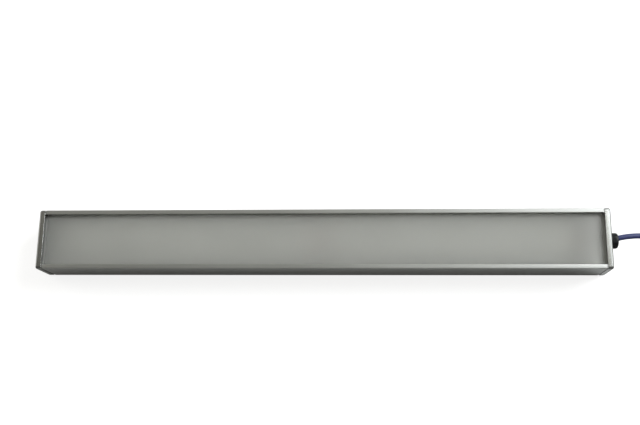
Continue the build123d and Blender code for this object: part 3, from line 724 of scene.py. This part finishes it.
def make_ribbed_tree():
    """Grip ribs round a turned body, on its axis."""
    tree, given, result = new_shape_tree("Ribbed Ring", (
        ("Rib", OBJECT), ("Ribs", WHOLE, 16), ("Radius", FLOAT, 0.007), ("Height", FLOAT, 0.0),
        ("Axis Place", VECTOR, (0, 0, 0)), ("Axis Turn", ROTATION)))
    source = add_node(tree, "GeometryNodeObjectInfo", {"Object": given["Rib"]})
    circle = add_node(tree, "GeometryNodeMeshCircle", {
        "Vertices": given["Ribs"], "Radius": given["Radius"]})
    ribs = add_node(tree, "GeometryNodeInstanceOnPoints", {
        "Points": circle.outputs["Mesh"], "Instance": source.outputs["Geometry"],
        "Rotation": turn_by_index(tree, calc(tree, "DIVIDE", tau, given["Ribs"]))})
    raised = add_node(tree, "GeometryNodeTransform", {
        "Geometry": ribs.outputs[0], "Translation": upright(tree, given["Height"])})
    joined = tree.nodes.new("GeometryNodeJoinGeometry")
    tree.links.new(raised.outputs[0], joined.inputs[0])
    tree.links.new(given["Geometry"], joined.inputs[0])
    placed = add_node(tree, "GeometryNodeTransform", {
        "Geometry": joined.outputs[0], "Translation": given["Axis Place"],
        "Rotation": given["Axis Turn"]})
    return end_tree(tree, placed.outputs[0], given, result)


TREE_MAKERS = {
    "Drawn Grain": make_grain_group,
    "Soft Mottle": make_mottle_group,
    "Settled Dust": make_dust_group,
    "Worn Rims": make_rim_group,
    "Piece Rows": make_rows_tree,
    "Drawn Section": make_section_tree,
    "Ribbed Ring": make_ribbed_tree,
}


def named_tree(name):
    """The shared node tree of that name, built on first use."""
    return bpy.data.node_groups.get(name) or TREE_MAKERS[name]()


def run_tree(piece, tree_name, values):
    """Run a node tree on a piece with inputs given by name; the result becomes its plain mesh."""
    tree = named_tree(tree_name)
    modifier = piece.modifiers.new(tree_name, "NODES")
    modifier.node_group = tree
    sockets = {
        item.name: item.identifier for item in tree.interface.items_tree
        if item.item_type == "SOCKET" and item.in_out == "INPUT"
    }
    for name, value in values.items():
        modifier[sockets[name]] = value
    settle(piece)


def repeat_piece(name, source, finish_name, slot, replaced=(), **values):
    """A piece made by the Piece Rows tree from one source mesh."""
    piece = link_object(name, bpy.data.meshes.new(name))
    one = bpy.data.objects.new(name + "_source", source)
    named = {key.replace("_", " "): value for key, value in values.items()}
    run_tree(piece, "Piece Rows", {"Piece": one, "Material": finish(finish_name), **named})
    bpy.data.objects.remove(one)
    declare(piece, "root", replaced)


# --- Settings ---
class WasherSizes(bpy.types.PropertyGroup):
    """Sizes that the pieces are dressed with."""

    edge_break: FloatProperty(
        name="Edge Break", description="Rounding of the extrusion's sharp edges",
        default=0.25 * MM, min=0.05 * MM, max=0.4 * MM, unit="LENGTH")
    moulded_edge: FloatProperty(
        name="Moulded Edge", description="Rounding of the gland's edges",
        default=0.3 * MM, min=0.05 * MM, max=0.5 * MM, unit="LENGTH")
    nut_ribs: IntProperty(
        name="Nut Ribs", description="Grip ribs round the coupling nut", default=24, min=8, max=40)


class WasherFinishes(bpy.types.PropertyGroup):
    """Colours of the light."""

    aluminium: FloatVectorProperty(
        name="Aluminium", description="Anodised aluminium of the housing and end caps",
        default=(0.495, 0.502, 0.492), size=3, min=0, max=1, subtype="COLOR")
    cover: FloatVectorProperty(
        name="Cover", description="Opal cover, unlit",
        default=(0.475, 0.475, 0.462), size=3, min=0, max=1, subtype="COLOR")
    cable_jacket: FloatVectorProperty(
        name="Cable Jacket", description="Jacket of the supply cable",
        default=(0.034, 0.041, 0.115), size=3, min=0, max=1, subtype="COLOR")


class WasherStudio(bpy.types.PropertyGroup):
    """The floor, the lamps and the room."""

    floor: FloatVectorProperty(
        name="Floor", description="Colour of the studio floor",
        default=(0.38, 0.38, 0.38), size=3, min=0, max=1, subtype="COLOR")
    floor_glow: FloatProperty(
        name="Floor Glow", description="Light of its own that the floor shows to the camera",
        default=0.82, min=0, max=1)
    key_power: FloatProperty(
        name="Key Power", description="Power of the large softbox",
        default=86.0, min=0, unit="POWER")
    fill_power: FloatProperty(
        name="Fill Power", description="Power of the low softbox on the left",
        default=18.0, min=0, unit="POWER")
    room_level: FloatProperty(
        name="Room Level", description="Brightness of the room overhead",
        default=0.41, min=0, max=2)


# --- Operators ---
class WASHER_OT_camera(bpy.types.Operator):
    """Place the camera where the photographer stood"""

    bl_idname = "washer.camera"
    bl_label = "Camera"

    def execute(self, context):
        lens = bpy.data.cameras.new("Camera")
        lens.sensor_width = 36.0
        lens.lens = FOCAL_PIXELS / PICTURE_WIDTH * lens.sensor_width
        lens.clip_start, lens.clip_end = 0.01, 50.0
        camera = link_object("Camera", lens)
        turn = Matrix.Identity(3)
        for axis, degrees in CAMERA_TURN:
            turn = turn @ Matrix.Rotation(radians(degrees), 3, axis)
        turn.transpose()
        camera.location = Vector((0, 0, FRONT_HEIGHT)) + turn @ CAMERA_PLACE
        camera.rotation_euler = turn.to_euler()
        context.scene.camera = camera
        context.scene.view_settings.view_transform = "Standard"
        return {"FINISHED"}


class WASHER_OT_stage(bpy.types.Operator):
    """Lay the pale floor and set up the soft studio light"""

    bl_idname = "washer.stage"
    bl_label = "Studio"

    def execute(self, context):
        studio = context.scene.washer_studio
        bm = bmesh.new()
        bmesh.ops.create_grid(bm, x_segments=4, y_segments=4, size=12.0)
        mesh = mesh_from(bm, "floor", clean=False)
        floor = link_object("floor", mesh)
        mesh.transform(Matrix.Translation((0, 0, -0.05 * MM)))
        mesh.materials.append(studio_floor("studio_floor", studio.floor, studio.floor_glow))
        self.add_softbox("key_softbox", (1.74, 0.98, 1.56), (0.05, 0, 0), (1.5, 1.5),
                         studio.key_power, (0.945, 0.985, 1.0))
        self.add_softbox("fill_softbox", (-2.4, 0.9, 0.95), (-0.1, 0, 0), (1.6, 1.4),
                         studio.fill_power, (1.0, 0.99, 0.93))
        self.fill_room(context, studio.room_level)
        return {"FINISHED"}

    @staticmethod
    def add_softbox(name, place, target, size, power, colour):
        """A rectangular lamp that faces the light."""
        lamp = bpy.data.lights.new(name, "AREA")
        lamp.shape, lamp.size, lamp.size_y, lamp.energy = "RECTANGLE", size[0], size[1], power
        lamp.color = colour
        softbox = link_object(name, lamp)
        softbox.location = place
        way = Vector(target) - softbox.location
        softbox.rotation_euler = way.to_track_quat("-Z", "Y").to_euler()

    @staticmethod
    def fill_room(context, level):
        """A white horizon round a room that is dark in front of the light and paler behind it."""
        world = bpy.data.worlds.new("studio_room")
        world.use_nodes = True
        context.scene.world = world
        tree = world.node_tree
        way = add_node(tree, "ShaderNodeTexCoord").outputs["Generated"]
        parts = add_node(tree, "ShaderNodeSeparateXYZ", {0: way}).outputs
        room = calc(tree, "MULTIPLY", level, step_over(tree, parts["Y"], -0.1, 0.4, 0.36, 1.0))
        room = calc(tree, "MULTIPLY", room, step_over(tree, parts["X"], -0.35, 0.4, 0.66, 1.5))
        walls = blend_colour(tree, room, (0, 0, 0, 1), (1.03, 1.0, 0.88, 1))
        colour = blend_colour(tree, step_over(tree, parts["Z"], 0.05, 0.14), (1, 1, 1, 1), walls)
        background = tree.nodes["Background"]
        tree.links.new(colour, background.inputs["Color"])


class WASHER_OT_cable(bpy.types.Operator):
    """Lay the supply cable along its route, through its coil, to the connector"""

    bl_idname = "washer.cable"
    bl_label = "Supply Cable"

    @staticmethod
    def coil_point(turns):
        """The coil's centreline: in along the floor, up a layer where it turns back, and out."""
        angle = pi / 2 - tau * turns
        back = turns - COIL_TURNS_IN
        inner = COIL_OUTER_RADIUS - COIL_TURNS_IN * COIL_PITCH
        if back <= 0:
            radius, rise = COIL_OUTER_RADIUS - COIL_PITCH * turns, 0
        elif back <= 0.5:
            radius = inner - COIL_PITCH * back + 2 * COIL_PITCH * back**2
            rise = COIL_PITCH * (2 * back) ** 2 * (3 - 4 * back)
        else:
            radius, rise = inner + COIL_PITCH * (back - 0.5), COIL_PITCH
        return COIL_MIDDLE + Vector((radius * cos(angle), radius * sin(angle), rise))

    def execute(self, context):
        points = [Vector(p) * MM for p in LEAD_ROUTE]
        count = round(COIL_TURNS * COIL_POINTS_PER_TURN)
        points += [self.coil_point(k / COIL_POINTS_PER_TURN) for k in range(count + 1)]
        points += [Vector(p) * MM for p in TAIL_ROUTE]
        curve = bpy.data.curves.new("supply_cable", "CURVE")
        curve.dimensions = "3D"
        curve.bevel_depth = CABLE_DIAMETER / 2
        curve.bevel_resolution = 7
        curve.resolution_u = 6
        curve.use_fill_caps = True
        spline = curve.splines.new("NURBS")
        spline.points.add(len(points) - 1)
        for point, place in zip(spline.points, points):
            point.co = (*place, 1.0)
        spline.order_u = 3
        spline.use_endpoint_u = True
        curve.materials.append(finish("cable_jacket"))
        cable = link_object("supply_cable", curve)
        declare(cable, "root", ["cable_lead", "cable_coil", "cable_tail"])
        return {"FINISHED"}


class WASHER_OT_housing(bpy.types.Operator):
    """Draw the housing's section out to its length"""

    bl_idname = "washer.housing"
    bl_label = "Housing"

    def execute(self, context):
        bm = bmesh.new()
        bm.from_mesh(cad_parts["housing"].data)
        bmesh.ops.remove_doubles(bm, verts=bm.verts, dist=WELD_DISTANCE)
        end = min(v.co.x for v in bm.verts)
        away = [f for f in bm.faces if any(v.co.x > end + SAME_PLACE for v in f.verts)]
        bmesh.ops.delete(bm, geom=away, context="FACES")
        if not bm.faces:
            raise RuntimeError("the housing has no end face to draw out")
        for face in bm.faces:
            if face.normal.x < 0:
                face.normal_flip()
        bmesh.ops.dissolve_limit(bm, angle_limit=radians(0.5), verts=bm.verts, edges=bm.edges)
        mesh = bpy.data.meshes.new("housing_extrusion")
        bm.to_mesh(mesh)
        bm.free()
        piece = link_object("housing_extrusion", mesh)
        run_tree(piece, "Drawn Section", {
            "Length": HOUSING_LENGTH, "Material": finish("housing_aluminium")})
        shade_by_angle(piece.data)
        round_edges(piece, context.scene.washer_sizes.edge_break)
        settle(piece)
        declare(piece, "root", ["housing"])
        return {"FINISHED"}


class WASHER_OT_end_caps(bpy.types.Operator):
    """Make the end caps and finish their gaskets"""

    bl_idname = "washer.end_caps"
    bl_label = "End Caps"

    def execute(self, context):
        # The gaskets are painted in two tones of one silicone: the left one darker, as painted
        # shade under the softbox's direct light, and the right one paler, as painted light in the
        # end cap's shadow.
        for end, gasket in (("left", "dark_silicone"), ("right", "pale_silicone")):
            dress_node(f"end_cap_{end}", f"end_plate_{end}", f"{end}_cap_aluminium", CAP_EDGE)
            paint_nodes(**{f"end_gasket_{end}": gasket})
        return {"FINISHED"}


class WASHER_OT_cap_screws(bpy.types.Operator):
    """Drive the countersunk screws into both end caps"""

    bl_idname = "washer.cap_screws"
    bl_label = "Cap Screws"

    def execute(self, context):
        socket, head, shank = 1.0, 2.8, 1.3
        screw = turned("cap_screw", (
            (0.35, -1.45), (socket, -1.2, 6), (socket, -0.12, 6), (socket + 0.12, 0, 6),
            (head - 0.15, 0), (head, -0.10), (head - 0.08, -0.22), (shank, -1.5),
            (shank, -15.4), (0.8, -16)), 36)
        repeat_piece(
            "cap_screws", screw, "stainless_steel", "stainless_steel", ["end_cap_screws"],
            Columns=2, Rows=2, Length=PORT_HIGH - PORT_LOW, Width=2 * PORT_Y,
            Grid_Turn=(0, pi / 2, 0), Centre=(HALF_LENGTH, 0, (PORT_LOW + PORT_HIGH) / 2))
        return {"FINISHED"}


class WASHER_OT_cover(bpy.types.Operator):
    """Finish the opal cover and its seals"""

    bl_idname = "washer.cover"
    bl_label = "Cover"

    def execute(self, context):
        paint_nodes(cover="opal_cover", cover_seals="pale_silicone")
        return {"FINISHED"}


class WASHER_OT_light_engine(bpy.types.Operator):
    """Fit the boards with their LEDs, screws and driver parts"""

    bl_idname = "washer.light_engine"
    bl_label = "Light Engine"

    def execute(self, context):
        paint_nodes(
            led_board_left="solder_mask", led_board_right="solder_mask", heat_pads="heat_pad",
            regulators="chip_black", resistors="led_ceramic", supply_terminal="white_nylon",
            board_links="red_core")
        leds = dict(Columns=11, Rows=2, Length=BOARD_ROW_LENGTH, Width=2 * LED_ROW_Y,
                    Centre=(BOARD_MIDDLE, 0, BOARD_TOP))
        half, dome_radius, dome_start = 1.75, 1.5, 0.9
        body = turned("led_body", (
            (half - 0.12, 0, 4), (half, 0.12, 4), (half, 0.72, 4), (half - 0.12, 0.84, 4),
            (1.52, 0.9), (1.40, 0.78)), 24)
        repeat_piece("led_packages", body, "led_ceramic", "led_lens", ["leds"], **leds)
        disc = turned("led_disc", ((1.42, 0.74), (1.42, 0.84), (1.30, 0.88)), 24)
        repeat_piece("led_phosphors", disc, "led_phosphor", "led_lens", **leds)
        dome = turned("led_dome", [
            (dome_radius * cos(k * pi / 12), dome_start + dome_radius * sin(k * pi / 12))
            for k in range(6)] + [(0.06, dome_start + dome_radius)], 24)
        repeat_piece("led_domes", dome, "led_lens", "led_lens", **leds)
        socket, head, shank = 1.0, 2.6, 1.2
        screw = turned("board_screw", (
            (0.35, 0.55), (socket, 0.6, 6), (socket, 1.72, 6), (socket + 0.1, 1.8, 6),
            (1.8, 1.8), (2.3, 1.6), (head, 1.1), (head, 0.1), (head - 0.1, 0), (shank, 0),
            (shank, -5.2), (0.8, -5.6)), 36)
        repeat_piece(
            "board_fixings", screw, "stainless_steel", "stainless_steel", ["board_screws"],
            Columns=3, Rows=2, Length=BOARD_ROW_LENGTH, Width=2 * BOARD_SCREW_Y,
            Centre=(BOARD_MIDDLE, 0, BOARD_TOP))
        return {"FINISHED"}


class WASHER_OT_gland(bpy.types.Operator):
    """Make the cable gland"""

    bl_idname = "washer.gland"
    bl_label = "Cable Gland"

    def execute(self, context):
        edge = context.scene.washer_sizes.moulded_edge
        dress_node("gland_body", "gland_shell", "black_nylon", edge)
        dress_node("gland_nut", "gland_cap_nut", "black_nylon", edge)
        paint_nodes(
            gland_washer="black_rubber", gland_locknut="black_nylon", gland_seal="black_rubber",
            inlet_cable="black_rubber", core_negative="black_core", core_positive="red_core")
        return {"FINISHED"}


class WASHER_OT_coil_tie(bpy.types.Operator):
    """Close the strap round the coil"""

    bl_idname = "washer.coil_tie"
    bl_label = "Coil Tie"

    def execute(self, context):
        low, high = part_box("coil_tie")
        middle = (low + high) / 2
        thick, half_width, corner = 0.9 * MM, 3.0 * MM, 2.4 * MM
        reach_x, reach_z = (high.x - low.x - thick) / 2, (high.z - low.z - thick) / 2
        outline, per_corner = [], 7
        for index, (sx, sz) in enumerate(((1, 1), (-1, 1), (-1, -1), (1, -1))):
            for step in range(per_corner):
                angle = (index + step / (per_corner - 1)) * pi / 2
                outline.append((sx * (reach_x - corner) + corner * cos(angle),
                                sz * (reach_z - corner) + corner * sin(angle)))
        path = [(0.3 * reach_x, reach_z)] + outline[per_corner:] + outline[:per_corner] + [
            (share * reach_x, reach_z) for share in (0.3, -0.1, -0.5)]
        lap = len(path) - 5  # after this point the strap lies on its own start
        rings = []
        for k, (x, z) in enumerate(path):
            before, after = Vector(path[max(k - 1, 0)]), Vector(path[min(k + 1, len(path) - 1)])
            way = (after - before).normalized()
            out = Vector((way.y, -way.x))
            centre = Vector((x, z)) + out * thick * 1.02 * min(1.0, max(0, k - lap) / 1.5)
            section = []
            for across, through in ((-1, -0.6), (-0.94, -1), (0.94, -1), (1, -0.6), (1, 0.6),
                                    (0.94, 1), (-0.94, 1), (-1, 0.6)):
                at = centre + out * through * thick / 2
                section.append(middle + Vector((at.x, across * half_width, at.y)))
            rings.append(section)
        bm = bmesh.new()
        loft_rings(bm, rings)
        mesh = mesh_from(bm, "coil_strap")
        shade_by_angle(mesh, 50)
        add_piece("coil_strap", mesh, "black_strap", ["coil_tie"])
        return {"FINISHED"}


class WASHER_OT_connector(bpy.types.Operator):
    """Make the connector with its strain relief, grip and coupling nut"""

    bl_idname = "washer.connector"
    bl_label = "Connector"

    def execute(self, context):
        place = along_axis(PLUG_ORIGIN, PLUG_HEADING)
        self.add_plug(place)
        self.add_coupling_nut(context, place)
        paint_nodes(plug_insert="plug_plastic", plug_pins="gold_pin", plug_seal="black_rubber")
        return {"FINISHED"}

    @staticmethod
    def add_plug(place):
        """Strain relief with ring grooves, fluted grip and hollow neck in one moulding."""
        segments, flutes, grooves, groove_pitch = 64, 8, 5, 2.3
        sections = [(3.0, 0.02), (3.5, 0.0), (3.7, 0.3)]
        for k in range(grooves):
            start = 1.4 + k * groove_pitch
            wall = 3.7 + 1.5 * start / 14  # from 3.7 mm at the cable to 5.2 mm at the grip
            sections += [(wall, start), (wall - 0.1, start + 0.15), (wall - 0.62, start + 0.4),
                         (wall - 0.60, start + 1.0), (wall + 0.02, start + 1.25)]
        sections += [
            (5.2, 13.9), (5.5, 14.0), (6.0, 14.6, 0.1), (6.0, 15.6, 0.45), (6.0, 28.2, 0.45),
            (6.0, 29.3, 0.1), (5.6, 30.0), (4.6, 30.0), (4.6, 41.6), (4.4, 42.0), (4.0, 42.0),
            (3.8, 41.8), (3.8, 34.0)]
        rings = []
        for radius, height, *flute in sections:
            points = ring(radius * MM, height * MM, segments)
            for k, point in enumerate(points if flute else ()):
                dip = flute[0] * max(0.0, cos(flutes * tau * k / segments)) ** 2
                point.xy *= 1 - dip / radius
            rings.append(points)
        bm = bmesh.new()
        loft_rings(bm, rings, matrix=place)
        mesh = mesh_from(bm, "plug_moulding")
        shade_by_angle(mesh, 40)
        add_piece("plug_moulding", mesh, "plug_plastic", ["plug_body"])

    @staticmethod
    def add_coupling_nut(context, place):
        """A turned nut with ribs round its grip."""
        start, grip_middle, grip_radius = 31.5, 5.7, 6.72
        sections = ((4.9, 0.3), (5.2, 0.0), (6.3, 0.0), (6.9, 0.6), (6.9, 2.0), (6.75, 2.2),
                    (6.75, 9.2), (6.9, 9.4), (6.9, 10.5), (6.4, 11.0), (5.3, 11.0), (4.9, 10.7))
        ring_mesh = turned(
            "coupling_ring", [(radius, start + height) for radius, height in sections], 72, True)
        rib = bmesh.new()
        half, top = 0.38, 3.3
        outline = ((0.0, -half), (0.28, -half), (0.5, -half / 2), (0.5, half / 2), (0.28, half),
                   (0.0, half))
        loft_rings(rib, [
            [Vector((x * share, y * share, z)) * MM for x, y in outline]
            for share, z in ((0.55, -top), (1, 0.3 - top), (1, top - 0.3), (0.55, top))])
        rib_mesh = mesh_from(rib, "coupling_rib")
        shade_by_angle(rib_mesh, 50)
        source = bpy.data.objects.new("coupling_rib_source", rib_mesh)
        nut = link_object("coupling_grip", ring_mesh)
        run_tree(nut, "Ribbed Ring", {
            "Rib": source, "Ribs": context.scene.washer_sizes.nut_ribs,
            "Radius": grip_radius * MM, "Height": (start + grip_middle) * MM,
            "Axis Place": place.translation, "Axis Turn": place.to_euler(),
            "Material": finish("nickel_nut")})
        bpy.data.objects.remove(source)
        declare(nut, "coupling_nut", ["coupling_nut"])


class WASHER_OT_channel_nuts(bpy.types.Operator):
    """Make the sliding nuts of the back channel"""

    bl_idname = "washer.channel_nuts"
    bl_label = "Channel Nuts"

    def execute(self, context):
        for end in ("left", "right"):
            node = f"channel_nut_{end}"
            dress_node(
                node, f"sliding_nut_{end}", "zinc_steel", NUT_EDGE, body=node)
        return {"FINISHED"}


class WASHER_OT_declare_cable(bpy.types.Operator):
    bl_idname = "washer.declare_cable"
    bl_label = "Declare Cable"

    def execute(self, context):
        return {"FINISHED"}


class WASHER_PT_panel(bpy.types.Panel):
    """The light's settings and build steps"""

    bl_idname = "WASHER_PT_panel"
    bl_label = "Wall Washer Light"
    bl_space_type = "VIEW_3D"
    bl_region_type = "UI"
    bl_category = "Wall Washer"

    def draw(self, context):
        for group, names in (
            (context.scene.washer_sizes, ("edge_break", "moulded_edge", "nut_ribs")),
            (context.scene.washer_finishes, ("aluminium", "cover", "cable_jacket")),
            (context.scene.washer_studio,
             ("floor", "floor_glow", "key_power", "fill_power", "room_level")),
        ):
            column = self.layout.column()
            for name in names:
                column.prop(group, name)
        for operator in OPERATORS:
            self.layout.operator(operator.bl_idname)


GROUPS = {
    "washer_sizes": WasherSizes, "washer_finishes": WasherFinishes, "washer_studio": WasherStudio,
}
OPERATORS = (
    WASHER_OT_camera, WASHER_OT_cable, WASHER_OT_stage, WASHER_OT_housing, WASHER_OT_end_caps,
    WASHER_OT_cap_screws, WASHER_OT_cover, WASHER_OT_light_engine, WASHER_OT_gland,
    WASHER_OT_coil_tie, WASHER_OT_connector, WASHER_OT_channel_nuts, WASHER_OT_declare_cable,
)


def register():
    for name, group in GROUPS.items():
        bpy.utils.register_class(group)
        setattr(bpy.types.Scene, name, PointerProperty(type=group))
    for one in (*OPERATORS, WASHER_PT_panel):
        bpy.utils.register_class(one)


def unregister():
    for one in reversed((*OPERATORS, WASHER_PT_panel)):
        bpy.utils.unregister_class(one)
    for name, group in GROUPS.items():
        delattr(bpy.types.Scene, name)
        bpy.utils.unregister_class(group)


def main():
    """Register the classes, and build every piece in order."""
    register()
    for operator in OPERATORS:
        getattr(bpy.ops.washer, operator.bl_idname.split(".")[1])()


if __name__ == "__main__":
    main()
